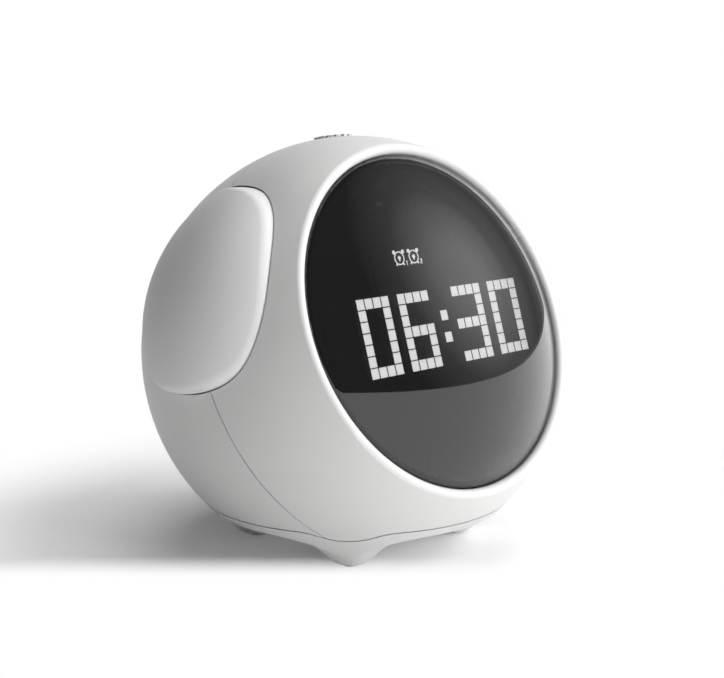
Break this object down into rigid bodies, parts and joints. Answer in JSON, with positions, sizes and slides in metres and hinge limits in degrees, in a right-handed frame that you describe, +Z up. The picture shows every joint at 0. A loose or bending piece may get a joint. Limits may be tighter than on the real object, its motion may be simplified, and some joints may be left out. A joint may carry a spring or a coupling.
{
  "type": "ball-shaped digital alarm clock",
  "caption": "Ball-shaped bedside alarm clock on nub feet: tilted domed smoked lens over a square-pixel time display, and ear-shaped side pads that press in as buttons.",
  "frame": {"origin": "middle of the clock's box, on the plane its foot pads stand on", "axes": "+Z up, the lens faces -Y, +X to the right as seen from the front"},
  "size_m": [0.102, 0.0872, 0.0892],
  "materials": {
    "shell": "satin fine-textured off-white plastic",
    "base": "satin off-white plastic",
    "soft_pad": "matt grey rubber",
    "ear_soft": "soft-touch pale grey",
    "button_cap": "satin pale grey",
    "smoked_lens": "smoked clear, polished",
    "foam": "black closed-cell foam",
    "black_plastic": "black moulded",
    "lit_resin": "diffusing resin, lit",
    "dark_resin": "diffusing resin, unlit",
    "circuit_board": "solder-masked glass epoxy",
    "switch_body": "black moulded switch body",
    "switch_plunger": "moulded plunger",
    "fixings": "zinc-plated steel",
    "spring_wire": "bright spring wire",
    "socket_metal": "nickel-plated drawn steel",
    "speaker_metal": "black painted",
    "speaker_paper": "black cone paper",
    "magnet": "sintered magnet",
    "cell_wrap": "wrapped cell pack",
    "wire": "insulated wire",
    "ribbon": "flat ribbon"
  },
  "bodies": {
    "case": {"front_shell": "shell", "rear_shell": "shell", "base_cover": "base", "foot_pads": "soft_pad", "base_screws": "fixings", "lens": "smoked_lens", "lens_gasket": "foam", "inner_frame": "black_plastic", "frame_screws": "fixings", "display_housing": "black_plastic", "lit_pixels": "lit_resin", "dark_pixels": "dark_resin", "alarm_icon_blocks": "dark_resin", "led_board": "circuit_board", "display_screws": "fixings", "display_ribbon": "ribbon", "speaker_basket": "speaker_metal", "speaker_cone": "speaker_paper", "speaker_magnet": "magnet", "speaker_bracket": "black_plastic", "speaker_screws": "fixings", "speaker_lead": "wire", "main_board": "circuit_board", "main_board_screws": "fixings", "controller_chip": "switch_body", "rear_switches": "switch_body", "usb_socket": "socket_metal", "usb_tongue": "black_plastic", "battery": "cell_wrap", "battery_pad": "foam", "battery_strap": "black_plastic", "strap_screws": "fixings", "battery_lead": "wire", "ear_switch_left": "switch_body", "ear_board_left": "circuit_board", "ear_bracket_left": "black_plastic", "ear_springs_left": "spring_wire", "ear_bracket_screws_left": "fixings", "ear_lead_left": "wire", "ear_switch_right": "switch_body", "ear_board_right": "circuit_board", "ear_bracket_right": "black_plastic", "ear_springs_right": "spring_wire", "ear_bracket_screws_right": "fixings", "ear_lead_right": "wire"},
    "ear_left": {"ear_left": "ear_soft", "ear_plunger_left": "switch_plunger"},
    "ear_right": {"ear_right": "ear_soft", "ear_plunger_right": "switch_plunger"},
    "button_mode": {"button_mode": "button_cap", "button_mode_plunger": "switch_plunger"},
    "button_up": {"button_up": "button_cap", "button_up_plunger": "switch_plunger"},
    "button_down": {"button_down": "button_cap", "button_down_plunger": "switch_plunger"}
  },
  "joints": [
    {"name": "ear_left_press", "type": "slide", "parent": "case", "child": "ear_left", "axis": [1, 0, 0], "range_m": [0, 0.0012], "stiffness_N_per_m": 900, "deforming": ["ear_springs_left"]},
    {"name": "ear_right_press", "type": "slide", "parent": "case", "child": "ear_right", "axis": [-1, 0, 0], "range_m": [0, 0.0012], "stiffness_N_per_m": 900, "deforming": ["ear_springs_right"]},
    {"name": "button_mode_press", "type": "slide", "parent": "case", "child": "button_mode", "axis": [0, -0.9272, 0.3746], "range_m": [0, 0.0008], "stiffness_N_per_m": 800},
    {"name": "button_up_press", "type": "slide", "parent": "case", "child": "button_up", "axis": [0, -0.9272, 0.3746], "range_m": [0, 0.0008], "stiffness_N_per_m": 800},
    {"name": "button_down_press", "type": "slide", "parent": "case", "child": "button_down", "axis": [0, -0.9272, 0.3746], "range_m": [0, 0.0008], "stiffness_N_per_m": 800}
  ]
}
